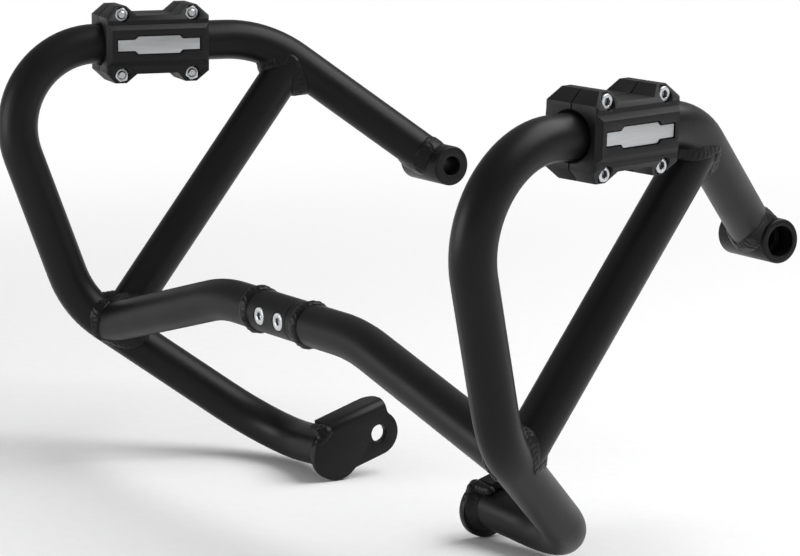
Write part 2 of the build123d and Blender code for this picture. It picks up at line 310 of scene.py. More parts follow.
# %% Assign the finishes
slot_of = {row["node"]: row["material_slot"] for row in frame["record"]["subparts"]}
finish_of = {"powder_coat": powder_coat, "slider_plastic": slider_plastic, "zinc_steel": zinc}
for name, node in nodes.items():
    finish = finish_of.get(slot_of[name])
    if finish is None:
        finish = badge_finish[name.split("_")[0]]
    node.data.materials.clear()
    node.data.materials.append(finish)
print("finishes on", len(nodes), "nodes")

# %% [markdown]
# Tube centre lines
#
# The weld beads follow from where the tubes run, so the corners of the left hoop are written
# down here once, in millimetres from the middle of the cross tube. Picking points on the mesh
# would be slower and less exact. The sleeve's own box tells where that middle is. The right
# half is mirrored later.

# %% Corners of the left half
sleeve_low, sleeve_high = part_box("joint_sleeve")
datum = Vector((0, (sleeve_low.y + sleeve_high.y) / 2, (sleeve_low.z + sleeve_high.z) / 2))


def at(x, y, z):
    """Point in the row frame from millimetres off the cross tube's middle."""
    return datum + Vector((x, y, z)) * MM


OUTBOARD = Vector((1, 0, 0))
BRACE_TOP_RUN, BRACE_FOOT_RUN, ARM_FOOT_RUN = 23, 27, 23
tube_end = at(163.2, 211, 54)
rear_corner = at(221, 115.5, 134)
front_corner = at(232, -13, -28)
low_corner = at(162.5, 91.5, -112)
foot = at(83, 83.8, -104.2)
arm_corner = at(73, 0, 0)
rear_leg = (tube_end - rear_corner).normalized()
lower_leg = (low_corner - front_corner).normalized()
brace_top = rear_corner + rear_leg * BRACE_TOP_RUN * MM
brace_foot = front_corner + lower_leg * BRACE_FOOT_RUN * MM
arm_foot = front_corner + lower_leg * ARM_FOOT_RUN * MM
brace_up = (brace_top - brace_foot).normalized()
arm_in = (arm_corner - arm_foot).normalized()
print("cross tube middle at", [round(v, 4) for v in datum])

# %% [markdown]
# The bars that are welded
#
# Near a weld each tube is almost straight, so it can stand as a round bar: a point on its
# middle line, a direction, a radius, and how far it reaches back and forth. Following the bends
# would be truer by a millimetre or two, but needs a search. The bush is a bar as well.
# The cross arm starts inside the hoop and doesn't come out on the far side, so its reach
# begins at zero.

# %% Bars
Bar = namedtuple("Bar", "origin axis radius first last")
TUBE_R = 12.5 * MM
BUSH_R = 12.75 * MM
BUSH_HALF = 19.2 * MM
LONG = 500 * MM
bush_bar = Bar(at(165, 211, 54), OUTBOARD, BUSH_R, -BUSH_HALF, BUSH_HALF)
tail_bar = Bar(tube_end, -rear_leg, TUBE_R, -LONG, LONG)
rear_bar = Bar(brace_top, rear_leg, TUBE_R, -LONG, LONG)
low_bar = Bar(arm_foot, lower_leg, TUBE_R, -LONG, LONG)
arm_bar = Bar(arm_foot, arm_in, TUBE_R, 0.0, LONG)
brace_bar = Bar(brace_foot, brace_up, TUBE_R, -LONG, LONG)
brace_down_bar = Bar(brace_top, -brace_up, TUBE_R, -LONG, LONG)
foot_bar = Bar(foot, (low_corner - foot).normalized(), TUBE_R, -LONG, LONG)
print("brace", round((brace_top - brace_foot).length / MM, 1), "mm long between middle lines")

# %% [markdown]
# Lines where bars meet
#
# A weld follows the line where two round skins meet. A Boolean cut would show that line too,
# but as loose edges in no order. Here a point on the branch tube's skin slides along the
# branch until it touches the bar that the branch is welded to. For two round bars that is a
# quadratic equation, solved once for each degree round the branch, so the points come in
# order. The foot of the brace touches two bars, and the one that it meets first counts.


# %% Meeting lines
def directions_round(axis, steps=360):
    """Unit directions at equal angles round an axis."""
    across = axis.orthogonal().normalized()
    up = axis.cross(across)
    angles = [2 * pi * k / steps for k in range(steps)]
    return [across * cos(angle) + up * sin(angle) for angle in angles]


def meeting_line(branch, bars):
    """Where a branch's skin meets round bars: point, direction of the skin, bar met."""
    line = []
    for skin in directions_round(branch.axis):
        touches = []
        for bar in bars:
            gap = branch.origin + skin * branch.radius - bar.origin
            gap = gap - bar.axis * gap.dot(bar.axis)
            run = branch.axis - bar.axis * branch.axis.dot(bar.axis)
            a, b, c = run.dot(run), 2 * gap.dot(run), gap.dot(gap) - bar.radius**2
            rise = (-b + sqrt(max(0.0, b * b - 4 * a * c))) / (2 * a)
            corner = branch.origin + branch.axis * rise + skin * branch.radius
            if (corner - bar.origin).dot(bar.axis) > bar.first:
                touches.append((rise, corner, skin, bar))
        line.append(max(touches, key=lambda touch: touch[0])[1:])
    return line


foot_line = meeting_line(brace_bar, [low_bar, arm_bar])
on_arm = sum(met is arm_bar for corner, skin, met in foot_line)
print("the brace foot meets the arm over", on_arm, "of", len(foot_line), "degrees")

# %% [markdown]
# One section of a bead
#
# Cut across, a bead is a small triangle with a curved face: a root in the corner, a toe up the
# branch and a toe out on the bar. A Bevel on the joint's edge would give legs of one size, but
# molten metal isn't so even. In a narrow crotch the puddle runs out further and sags, so the
# legs grow and the face hollows. Where the two skins run on into each other it thins to a cap,
# and the cap's two shares say how much of each leg is left.

# %% Bead section
TOE_SINK = 0.2 * MM
ROOT_DEPTH = 1.0 * MM
CROTCH_GROWTH = 0.9
SAG = 0.45
NARROWEST = 0.2


def skin_point(point, bar):
    """Nearest point just under the skin of a round bar, and the skin's direction there."""
    reach = max(bar.first, min(bar.last, (point - bar.origin).dot(bar.axis)))
    middle = bar.origin + bar.axis * reach
    away = point - middle
    away = (away - bar.axis * away.dot(bar.axis)).normalized()
    return middle + away * (bar.radius - TOE_SINK), away


def draft_section(line, k, branch, leg_branch, leg_bar, cap):
    """Root, two toes, bulge and outward direction of a bead at one point of its line."""
    corner, skin, bar = line[k]
    along = (line[(k + 1) % len(line)][0] - line[k - 1][0]).normalized()
    away = skin_point(corner, bar)[1]
    up_branch = (branch.axis - along * branch.axis.dot(along)).normalized()
    out_bar = away.cross(along).normalized()
    if out_bar.dot(skin - up_branch) < 0:
        out_bar = -out_bar
    crotch = up_branch.dot(out_bar)
    spread = 1 + CROTCH_GROWTH * max(0.0, crotch)
    reach_branch = leg_branch * (spread + (cap[0] - 1) * max(0.0, -crotch))
    reach_bar = leg_bar * (spread + (cap[1] - 1) * max(0.0, -crotch))
    outward = (up_branch + out_bar + skin + away).normalized()
    half_open = max(NARROWEST, up_branch.angle(out_bar) / 2)
    hollow = cos(half_open) - (1 - sin(half_open)) / cos(half_open)
    bulge = outward * (-SAG * hollow * spread * (leg_branch + leg_bar) / 2)
    toes = [corner + up_branch * reach_branch, corner + out_bar * reach_bar]
    return [corner - outward * ROOT_DEPTH, *toes, bulge, outward]


print("a toe lies", TOE_SINK / MM, "mm under the skin, a root", ROOT_DEPTH / MM, "mm deep")

# %% [markdown]
# Beads where tubes meet
#
# The line has sharp points where the two skins only just graze, and a puddle rounds those
# off. So each section is averaged with its neighbours, on the bush more than elsewhere.
# Averaging lifts the toes off the metal, so they are pulled back onto the round skins, and a
# low crown keeps the bead from sinking where the skins lie close together. A Smooth modifier
# on the finished bead would shrink it all round and leave the toes in the air.

# %% Saddle beads
CROWN = 0.6 * MM
THIN_CAP = (0.5, 0.25)
BUSH_CAP = (1.35, 0.25)


def saddle(branch, bars, leg_branch, leg_bar, cap=THIN_CAP, round_off=9):
    """Bead sections where a branch runs into bars: root, two toes, bulge, outward."""
    line = meeting_line(branch, bars)
    legs = (leg_branch, leg_bar)
    drafts = np.array([draft_section(line, k, branch, *legs, cap) for k in range(len(line))])
    smooth = sum(np.roll(drafts, shift, axis=0) for shift in range(-round_off, round_off + 1))
    sections = []
    for row, (corner, skin, bar) in zip(smooth / (2 * round_off + 1), line):
        root, toe_branch, toe_bar, bulge, outward = [Vector(part) for part in row]
        outward.normalize()
        toe_branch = skin_point(toe_branch, branch)[0]
        toe_bar = skin_point(toe_bar, bar)[0]
        buried = (root + outward * ROOT_DEPTH - (toe_branch + toe_bar) / 2).dot(outward)
        bulge += outward * (max(0.0, buried) + CROWN)
        sections.append((root, toe_branch, toe_bar, bulge, outward))
    return sections


left_welds = {
    "bush_weld": saddle(tail_bar, [bush_bar], 7.0 * MM, 6.0 * MM, BUSH_CAP, round_off=24),
    "brace_top_weld": saddle(brace_down_bar, [rear_bar], 7.5 * MM, 8.5 * MM),
    "brace_foot_weld": saddle(brace_bar, [low_bar, arm_bar], 7.0 * MM, 8.0 * MM),
    "arm_weld": saddle(arm_bar, [low_bar], 5.0 * MM, 7.5 * MM),
}
print("sections", {weld: len(sections) for weld, sections in left_welds.items()})

# %% [markdown]
# Beads round a tube
#
# The lower end of the hoop stands on the bracket plate, and the cross tube is welded to the
# joint all the way round. A torus would do for the joint. The hoop's end is eight degrees off
# square, so there the toe on the tube is pulled onto its skin as well. One function makes both
# kinds: a toe is given by how far it lies along the tube and how far out from its skin.


# %% Ring beads
def ring(centre, toe_in, toe_out, crown, lean=0.0, bar=None):
    """Bead sections round a tube that runs outboard: root, two toes, bulge, outward."""
    sections = []
    for skin in directions_round(OUTBOARD):
        corner = centre + skin * TUBE_R
        near = corner + OUTBOARD * toe_in[0] + skin * toe_in[1]
        near = skin_point(near, bar)[0] if bar else near
        far = corner + OUTBOARD * toe_out[0] + skin * toe_out[1]
        outward = (skin + OUTBOARD * lean).normalized()
        sections.append((corner - skin * ROOT_DEPTH, near, far, outward * crown, outward))
    return sections


FOOT_BEAD_HOLLOW = -0.5 * MM
JOINT_BEAD_CROWN = 1.2 * MM
JOINT_BEAD_HALF = 4.4 * MM
foot_toes = [(7.0 * MM, -TOE_SINK), (-TOE_SINK, 3.9 * MM)]
left_welds["bracket_weld"] = ring(foot, *foot_toes, FOOT_BEAD_HOLLOW, lean=1.0, bar=foot_bar)
joint_toes = [(way, -TOE_SINK) for way in (-JOINT_BEAD_HALF, JOINT_BEAD_HALF)]
joint_bead_x = {"left": 24, "right": 31}
joint_rings = {
    side: ring(at(x, 0, 0), *joint_toes, JOINT_BEAD_CROWN) for side, x in joint_bead_x.items()
}
print("rings on", ["bracket", *joint_rings])

# %% [markdown]
# Growing a mesh with a node tree
#
# Geometry Nodes make what repeats: ripples, drops and screws. A tree gets named inputs, so its
# sizes are set from outside. A live modifier could stay on the piece, but an exported model
# can't carry it, so the result is kept as a plain mesh. Two helpers take care of both.


# %% Tree helpers
def new_tree(name, inputs):
    """Geometry node tree with named inputs, and the outputs of its group input."""
    tree = bpy.data.node_groups.new(name, "GeometryNodeTree")
    tree.interface.new_socket("Geometry", in_out="INPUT", socket_type="NodeSocketGeometry")
    for label, kind, value in inputs:
        socket = tree.interface.new_socket(label, in_out="INPUT", socket_type="NodeSocket" + kind)
        if value is not None:
            socket.default_value = value
    tree.interface.new_socket("Geometry", in_out="OUTPUT", socket_type="NodeSocketGeometry")
    return tree, put(tree, "NodeGroupInput").outputs


def finish_tree(tree, geometry, material):
    """Last steps of every tree: real geometry with its material on it."""
    real = put(tree, "GeometryNodeRealizeInstances", {"Geometry": geometry}).outputs[0]
    painted = put(tree, "GeometryNodeSetMaterial", {"Geometry": real, "Material": material})
    put(tree, "NodeGroupOutput", {"Geometry": painted.outputs[0]})


def grow(name, mesh, tree, sizes):
    """Runs a node tree on a mesh and keeps the result as a plain mesh object."""
    source = bpy.data.objects.new(name + "_source", mesh)
    scene.collection.objects.link(source)
    modifier = source.modifiers.new("tree", "NODES")
    modifier.node_group = tree
    for item in tree.interface.items_tree:
        if item.item_type == "SOCKET" and item.in_out == "INPUT" and item.name in sizes:
            modifier[item.identifier] = sizes[item.name]
    graph = bpy.context.evaluated_depsgraph_get()
    made = bpy.data.meshes.new_from_object(source.evaluated_get(graph))
    bpy.data.objects.remove(source)
    piece = bpy.data.objects.new(name, made)
    scene.collection.objects.link(piece)
    return piece


# %% [markdown]
# Ripples
#
# A hand-laid bead is a row of small overlapping puddles, like a pushed-over stack of coins.
# Modelling each puddle would take hours, and a bump map would vanish at the outline. So a node
# tree lifts the bead's face: the way along is cut into equal steps, the steps bend back at the
# toes so that they become crescents, and a noise makes no two alike. The sums are listed as a
# table, one Math node to a row, because a long chain of nodes reads better that way.

# %% Ripple sums
WELD_PITCH = 3.2 * MM
LUMP_LENGTH = 7 * MM
MEAN_DEPTH, DEPTH_SPREAD, LEAST_DEPTH = 0.65, 2.5, 0.15
SWELL = 0.3
EDGE_POWER = 4.0
# Each row gives a result, an operation and what goes into it: a number or an earlier result.
RIPPLE_SUMS = (
    ("uneven", "SUBTRACT", "lumps", 0.5),
    ("wobble", "MULTIPLY", "uneven", "Unevenness"),
    ("across_squared", "MULTIPLY", "across", "across"),
    ("bend", "MULTIPLY", "across_squared", "Curl"),
    ("puddles", "DIVIDE", "along", "Pitch"),
    ("bent", "SUBTRACT", "puddles", "bend"),
    ("shifted", "ADD", "bent", "wobble"),
    ("phase", "FRACT", "shifted", 0.0),
    ("aside", "ABSOLUTE", "across", 0.0),
    ("fall", "POWER", "aside", EDGE_POWER),
    ("edge", "SUBTRACT", 1.0, "fall"),
    ("vary", "MULTIPLY", "uneven", DEPTH_SPREAD),
    ("varied", "ADD", MEAN_DEPTH, "vary"),
    ("depth", "MAXIMUM", LEAST_DEPTH, "varied"),
    ("swell", "ADD", SWELL, "wobble"),
    ("ridge", "MULTIPLY", "crest", "depth"),
    ("swollen", "ADD", "ridge", "swell"),
    ("faded", "MULTIPLY", "swollen", "edge"),
    ("lift", "MULTIPLY", "faded", "Height"),
)
print(len(RIPPLE_SUMS), "sums make a ripple")

# %% [markdown]
# The ripple tree
#
# The bead's mesh tells each point how far along and across the weld it lies and which way is
# outward, as named attributes. The tree reads those, works through the table, and moves the
# points outward. Moving them along their normals would be simpler, but at the toes those lean
# into the tubes. A curve shapes one puddle: a rounded rise, and a steep fall to the next one.


# %% Ripple tree
PUDDLE = ((0.0, 0.0), (0.35, 0.75), (0.7, 1.0), (1.0, 0.0))
RIPPLE_HEIGHT = 0.7 * MM


def ripple_tree():
    """Raises crescent ripples on a bead that knows its way along and across."""
    tree, given = new_tree(
        "weld_ripples",
        [
            ("Pitch", "Float", WELD_PITCH),
            ("Height", "Float", RIPPLE_HEIGHT),
            ("Curl", "Float", 0.9),
            ("Unevenness", "Float", 1.6),
            ("Seed", "Float", 1.0),
            ("Material", "Material", None),
        ],
    )
    known = {label: given[label] for label in ("Pitch", "Height", "Curl", "Unevenness")}
    for label, kind in (("along", "FLOAT"), ("across", "FLOAT"), ("outward", "FLOAT_VECTOR")):
        fact = put(tree, "GeometryNodeInputNamedAttribute", {"Name": label}, data_type=kind)
        known[label] = fact.outputs[0]
    known["lumps"] = put(
        tree,
        "ShaderNodeTexNoise",
        {"W": given["Seed"], "Scale": 1 / LUMP_LENGTH, "Detail": 2.0},
        noise_dimensions="4D",
    ).outputs[0]
    puddle = put(tree, "ShaderNodeFloatCurve")
    shape = puddle.mapping.curves[0].points
    shape[0].location, shape[1].location = PUDDLE[0], PUDDLE[-1]
    for spot in PUDDLE[1:-1]:
        shape.new(*spot)
    puddle.mapping.update()
    known["crest"] = puddle.outputs[0]
    for result, operation, *terms in RIPPLE_SUMS:
        values = {place: known.get(term, term) for place, term in enumerate(terms)}
        known[result] = put(tree, "ShaderNodeMath", values, operation=operation).outputs[0]
    tree.links.new(known["phase"], puddle.inputs["Value"])
    offset = put(
        tree,
        "ShaderNodeVectorMath",
        {0: known["outward"], "Scale": known["lift"]},
        operation="SCALE",
    )
    raised = put(
        tree,
        "GeometryNodeSetPosition",
        {"Geometry": given["Geometry"], "Offset": offset.outputs[0]},
    )
    smooth = put(tree, "GeometryNodeSetShadeSmooth", {"Geometry": raised.outputs[0]})
    finish_tree(tree, smooth.outputs[0], given["Material"])
    return tree


ripples = ripple_tree()
print("made tree", ripples.name, "with", len(ripples.nodes), "nodes")

# %% [markdown]
# The plain band
#
# Under its ripples a bead is a closed band: strips of faces from toe to toe, with the root
# hidden in the metal. A bevelled curve would be quicker, but it keeps one profile all the way.
# So the sections are first spaced evenly, six to a ripple and a whole number of ripples to a
# weld, and then joined. Each point remembers how far along and across the bead it lies.


# %% Bead mesh
def bead_rows(sections, sign, pitch, per_ripple=6):
    """Sections spaced evenly along a weld, and how far along each lies in whole ripples."""
    rows = np.array([[list(v) for v in section] for section in sections])
    rows = np.concatenate([rows, rows[:1]])
    middle = (rows[:, 1] + rows[:, 2]) / 2
    way = np.concatenate([[0], np.cumsum(np.linalg.norm(np.diff(middle, axis=0), axis=1))])
    ripple_count = round(way[-1] / pitch)
    stations = np.linspace(0, way[-1], ripple_count * per_ripple, endpoint=False)
    rows = [[np.interp(stations, way, rows[:, i, j]) for j in range(3)] for i in range(5)]
    parts = [np.array(part).T * [sign, 1, 1] for part in rows]
    return parts, stations * pitch * ripple_count / way[-1]


def bead_mesh(name, sections, sign, pitch, cuts=10):
    """Closed band along a weld, with its way along and across kept for the node tree."""
    (root, toe_in, toe_out, bulge, outward), along = bead_rows(sections, sign, pitch)
    shares = [cut / cuts for cut in range(cuts + 1)]
    points = [toe_in * (1 - s) + toe_out * s + bulge * 4 * s * (1 - s) for s in shares] + [root]
    across = [2 * s - 1 for s in shares] + [1.0]
    count, loop = len(along), len(points)
    faces = []
    for k in range(count):
        for j in range(loop):
            k2, j2 = (k + 1) % count, (j + 1) % loop
            faces.append((j * count + k, j * count + k2, j2 * count + k2, j2 * count + k))
    mesh = bpy.data.meshes.new(name)
    mesh.from_pydata(np.concatenate(points).tolist(), [], faces)
    facts = {
        "along": ("FLOAT", "value", np.tile(along, loop)),
        "across": ("FLOAT", "value", np.repeat(across, count)),
        "outward": ("FLOAT_VECTOR", "vector", np.tile(outward, (loop, 1)).ravel()),
    }
    for label, (kind, field, values) in facts.items():
        fact = mesh.attributes.new(label, kind, "POINT")
        fact.data.foreach_set(field, values.astype(np.float32))
    work = bmesh.new()
    work.from_mesh(mesh)
    bmesh.ops.recalc_face_normals(work, faces=work.faces)
    work.to_mesh(mesh)
    work.free()
    return mesh


arm_way = bead_rows(left_welds["arm_weld"], 1, WELD_PITCH)[1]
print("the arm's bead has", round(arm_way[-1] / WELD_PITCH), "ripples")

# %% [markdown]
# Laying the beads
#
# Six welds hold each half together. One bead could be mirrored for the other half, but then
# both would show the same ripples, and no welder repeats a bead. So every one is grown with a
# seed of its own. Each stands in for the plain weld of the CAD model. The one on the bracket
# was laid smoother, so its ripples are lower.

# %% Lay the beads
ripple_height = {"bracket_weld": 0.3 * MM}
FIRST_SEED, SEED_STEP = 3.0, 1.7
bead_faces = 0
for side, sign in SIDES:
    welds = {**left_welds, "joint_weld": joint_rings[side]}
    for count, (weld, sections) in enumerate(welds.items()):
        name = side + "_" + weld
        sizes = {
            "Pitch": WELD_PITCH,
            "Height": ripple_height.get(weld, RIPPLE_HEIGHT),
            "Seed": FIRST_SEED + SEED_STEP * count + sign,
            "Material": powder_coat,
        }
        band = bead_mesh(name, sections, sign, WELD_PITCH)
        bead = grow(name + "_ripples", band, ripples, sizes)
        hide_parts(name)
        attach(bead, "root")
        bead_faces += len(bead.data.polygons)
print("laid", 2 * len(welds), "beads of", bead_faces, "faces")

# %% [markdown]
# Weld ends on the brackets
#
# Where the flange ends above the tube, the welder filled the open corner with a few drops.
# They could be sculpted, but balls poured into a volume run together by themselves: Points to
# Volume melts them into one body, Volume to Mesh gives it a skin, and a blur evens the skin
# out as surface tension does.


# %% Drop tree
DROP_VOXEL = 0.35 * MM


def drop_tree():
    """Melts balls of given sizes into one lumpy body."""
    tree, given = new_tree(
        "weld_drops",
        [("Voxel", "Float", DROP_VOXEL), ("Melt", "Int", 5), ("Material", "Material", None)],
    )
    size = put(
        tree, "GeometryNodeInputNamedAttribute", {"Name": "size"}, data_type="FLOAT"
    ).outputs[0]
    points = put(tree, "GeometryNodeMeshToPoints", {"Mesh": given["Geometry"], "Radius": size})
    melt = put(
        tree,
        "GeometryNodePointsToVolume",
        {"Points": points.outputs[0], "Voxel Size": given["Voxel"], "Radius": size},
        resolution_mode="VOXEL_SIZE",
    )
    skin = put(
        tree, "GeometryNodeVolumeToMesh", {"Volume": melt.outputs[0], "Threshold": 0.1}
    ).outputs[0]
    place = put(tree, "GeometryNodeInputPosition").outputs[0]
    run = put(
        tree,
        "GeometryNodeBlurAttribute",
        {"Value": place, "Iterations": given["Melt"]},
        data_type="FLOAT_VECTOR",
    ).outputs[0]
    flowed = put(tree, "GeometryNodeSetPosition", {"Geometry": skin, "Position": run})
    smooth = put(tree, "GeometryNodeSetShadeSmooth", {"Geometry": flowed.outputs[0]})
    finish_tree(tree, smooth.outputs[0], given["Material"])
    return tree


drops = drop_tree()
print("made tree", drops.name, "with", len(drops.nodes), "nodes")

# %% [markdown]
# Placing the drops
#
# The drops are a short list, and a random scatter would miss the corner that they fill. The
# plate leans, so they are measured along it and up it from its bolt hole, and outboard from
# the middle of the vehicle. The last column is the size of the ball, all in millimetres.

# %% Pour the drops
# outboard, along the plate, up the plate, size
DROPS = (
    (80.8, -34.4, 15.0, 4.3),
    (80.9, -37.6, 12.8, 4.0),
    (82.2, -37.6, 15.6, 3.4),
    (80.9, -40.6, 11.2, 3.0),
    (80.8, -43.0, 8.8, 2.6),
    (80.9, -44.8, 6.0, 2.3),
    (81.0, -46.0, 3.2, 2.1),
    (84.4, -34.2, 15.2, 4.3),
    (88.2, -34.0, 15.0, 4.1),
    (91.6, -33.9, 15.1, 3.6),
    (94.4, -33.8, 15.3, 3.0),
)
HOLE_Y, HOLE_Z = 114, -97.2
plate_along = Vector((0, 30.2, 9.2)).normalized()
plate_up = OUTBOARD.cross(plate_along)
ball_sizes = np.array([size * MM for x, u, v, size in DROPS], np.float32)
spots = [at(x, HOLE_Y, HOLE_Z) + (plate_along * u + plate_up * v) * MM for x, u, v, size in DROPS]
for side, sign in SIDES:
    mesh = bpy.data.meshes.new(side + "_drops")
    mesh.from_pydata([(sign * p.x, p.y, p.z) for p in spots], [], [])
    mesh.attributes.new("size", "FLOAT", "POINT").data.foreach_set("value", ball_sizes)
    sizes = {"Voxel": DROP_VOXEL, "Material": powder_coat}
    piece = grow(side + "_bracket_drops", mesh, drops, sizes)
    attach(piece, "root")
    print(piece.name, len(piece.data.polygons), "faces")

# %% [markdown]
# Turned shapes
#
# Screws and nuts are turned on a lathe. A Screw modifier turns a profile too, but then every
# ring is round, and a key socket or a nut has flats. So each is drawn as rings of points, from
# the middle of the top down to the tip, and a ring may be round or a hexagon. The first rings
# of a screw line its socket. A number is kept on them, and the zinc paints shade there.

# %% Rings into solids
SEGMENTS = 48
SHARP_EDGE = radians(32)


def turned(name, rings, pipe=False, painted_shade_rings=0):
    """Zinc plated solid from rings; a ring gives radius and height for each angle."""
    work = bmesh.new()
    angles = [2 * pi * k / SEGMENTS for k in range(SEGMENTS)]
    loops = []
    for ring_at in rings:
        spots = [(angle, *ring_at(angle)) for angle in angles]
        loops.append([work.verts.new((r * cos(a), r * sin(a), z)) for a, r, z in spots])
    if pipe:
        loops.append(loops[0])
    for upper, lower in zip(loops, loops[1:]):
        for k in range(SEGMENTS):
            work.faces.new((upper[k - 1], lower[k - 1], lower[k], upper[k]))
    if not pipe:
        work.faces.new(loops[0])
        work.faces.new(loops[-1][::-1])
    bmesh.ops.recalc_face_normals(work, faces=work.faces)
    mesh = bpy.data.meshes.new(name)
    work.to_mesh(mesh)
    work.free()
    mesh.shade_smooth()
    mesh.set_sharp_from_angle(angle=SHARP_EDGE)
    # The socket rings are marked, so that the zinc paints a darker grey into them as painted
    # shade.
    painted_shade_points = np.arange(len(mesh.vertices)) < painted_shade_rings * SEGMENTS
    socket_painted_shade = mesh.attributes.new("socket_painted_shade", "FLOAT", "POINT")
    socket_painted_shade.data.foreach_set("value", painted_shade_points.astype(np.float32))
    mesh.materials.append(zinc)
    pattern = bpy.data.objects.new(name, mesh)
    scene.collection.objects.link(pattern)
    return pattern


def round_ring(radius, height):
    """Plain circle, in millimetres."""
    return lambda angle: (radius * MM, height * MM)


def hexagon(across_flats, angle):
    """Distance from the middle to the side of a hexagon in some direction."""
    part = (angle + pi / 6) % (pi / 3) - pi / 6
    return across_flats / 2 / cos(part)


print("a 4 mm socket is", round(2 * hexagon(4.0, pi / 6), 2), "mm over its corners")

# %% [markdown]
# Socket screws
#
# Four M5 screws with knurled heads hold each slider, and two low M6 screws hold the joint. A
# library screw would bring its own sizes, so the rings are listed here instead, in millimetres:
# the bottom of the socket, its flats and countersunk mouth, the broken edge of the head, the
# knurls, the shank and its tip. A head stands on its seat, at height zero.


# %% Screw patterns
SOCKET_FLOOR = 0.5
DRILL_TIP_RADIUS, DRILL_TIP_DEPTH = 0.4, 0.8
MOUTH_DEPTH = 0.25
# The broken edge of a head: how far in from the rim, and how far down from the top.
HEAD_EDGE = ((0.75, 0.0), (0.3, 0.12), (0.08, 0.42))
KNURL_BELOW_TOP, KNURL_ABOVE_SEAT = 0.7, 0.35
HEAD_FOOT_INSET = 0.2
TIP_CHAMFER = 0.6


def screw_pattern(name, head, height, socket, mouth, shank, length, knurl):
    """Socket screw standing on its seat, with a rounded and knurled head."""
    rim = head / 2
    deep = height * SOCKET_FLOOR
    key_mouth = socket / sqrt(3) + mouth

    def key(z):
        return lambda angle: (hexagon(socket, angle) * MM, z * MM)

    def knurled(z):
        return lambda angle: (
            (rim - knurl * (round(angle * SEGMENTS / (2 * pi)) % 2)) * MM,
            z * MM,
        )

    drilled = round_ring(DRILL_TIP_RADIUS, deep - DRILL_TIP_DEPTH)
    rings = [drilled, key(deep), key(height - MOUTH_DEPTH)]
    socket_rings = len(rings)
    rings += [
        round_ring(key_mouth, height),
        *(round_ring(rim - inset, height - drop) for inset, drop in HEAD_EDGE),
        knurled(height - KNURL_BELOW_TOP),
        knurled(KNURL_ABOVE_SEAT),
        round_ring(rim - HEAD_FOOT_INSET, 0),
        round_ring(shank / 2, 0),
        round_ring(shank / 2, TIP_CHAMFER - length),
        round_ring(shank / 2 - TIP_CHAMFER, -length),
    ]
    return turned(name, rings, painted_shade_rings=socket_rings)


CLAMP_SHANK, JOINT_SHANK = 5.0, 6.0
clamp_screw = screw_pattern(
    "clamp_screw_pattern",
    head=8.5,
    height=5.0,
    socket=4.0,
    mouth=0.15,
    shank=CLAMP_SHANK,
    length=25.8,
    knurl=0.12,
)
joint_screw = screw_pattern(
    "joint_screw_pattern",
    head=10.5,
    height=3.3,
    socket=4.0,
    mouth=0.5,
    shank=JOINT_SHANK,
    length=14.0,
    knurl=0.0,
)
print("screws of", [len(p.data.polygons) for p in (clamp_screw, joint_screw)], "faces")

# %% [markdown]
# Hex nuts
#
# A nut starts as a hexagonal bar and is turned down at one end, which cuts its corners in arcs.
# A bevelled six-sided cylinder would cut them straight. Here the top ring drops the further
# it reaches beyond the round face, and that gives the arcs. The nut is a pipe: its last ring
# joins its first one through the bore.


# %% Nut pattern
FACE_SHARE = 0.49
CORNER_SLOPE = 0.5
NUT_FOOT_INSET, NUT_FOOT_HEIGHT = 0.06, 0.2
COUNTERSINK, COUNTERSINK_DEPTH = 0.45, 0.5
THREAD_EDGE = 0.02


def nut_pattern(name, flats, height, bore):
    """Hex nut standing on its seat, with turned-down corners and a countersunk thread."""
    face = flats * FACE_SHARE

    def flat(z):
        return lambda angle: ((hexagon(flats, angle) - NUT_FOOT_INSET) * MM, z * MM)

    def crown(angle):
        reach = hexagon(flats, angle)
        return reach * MM, (height - max(0.0, reach - face) * CORNER_SLOPE) * MM

    rings = [
        round_ring(bore / 2, 0),
        flat(0),
        flat(NUT_FOOT_HEIGHT),
        crown,
        round_ring(face, height),
        round_ring(bore / 2 + COUNTERSINK, height),
        round_ring(bore / 2 + THREAD_EDGE, height - COUNTERSINK_DEPTH),
    ]
    return turned(name, rings, pipe=True)


clamp_nut = nut_pattern("clamp_nut_pattern", flats=8.0, height=4.0, bore=5.1)
print("nut of", len(clamp_nut.data.polygons), "faces")

# %% [markdown]
# Where the fasteners sit
#
# The CAD model holds plain screws and nuts in their true places. Typing those places again
# would invite mistakes, so they are read from its meshes. A node holds several loose solids,
# and each is found by walking from point to point along the edges.


# %% Loose solids
SAME_POINT = 1e-6


def islands(node):
    """Points of each loose solid in a CAD node."""
    work = bmesh.new()
    work.from_mesh(node.data)
    bmesh.ops.remove_doubles(work, verts=work.verts, dist=SAME_POINT)
    left = set(work.verts)
    found = []
    while left:
        island, front = [], [left.pop()]
        while front:
            vertex = front.pop()
            island.append(list(node.matrix_world @ vertex.co))
            fresh = {e.other_vert(vertex) for e in vertex.link_edges} & left
            left -= fresh
            front += fresh
        found.append(np.array(island))
    work.free()
    return sorted(found, key=lambda points: points.mean(axis=0).round(5).tolist())


print("loose solids in joint_screws:", len(islands(nodes["joint_screws"])))

# %% [markdown]
# Which way they stand
#
# A pattern needs a seat and a direction. The points of a screw spread most along its axis, and
# those of a nut least, which a singular value decomposition tells at once. The head is where a
# screw's points lie furthest from the axis. A nut looks the other way than its screw does.


# %% Seats
WIDER_THAN_SHANK = 1.25
TIP_DEPTH = 1e-5


def screw_seat(points, shank):
    """Seat and direction of a screw: the line of its points, towards the wide end."""
    middle = points.mean(axis=0)
    axis = np.linalg.svd(points - middle)[2][0]
    way = (points - middle) @ axis
    aside = np.linalg.norm(points - middle - np.outer(way, axis), axis=1)
    wide = way[aside > shank / 2 * MM * WIDER_THAN_SHANK]
    if wide.mean() < (way.min() + way.max()) / 2:
        axis, way, wide = -axis, -way, -wide
    tip = points[way < way.min() + TIP_DEPTH].mean(axis=0)
    return tip + axis * (wide.min() - way.min()), axis


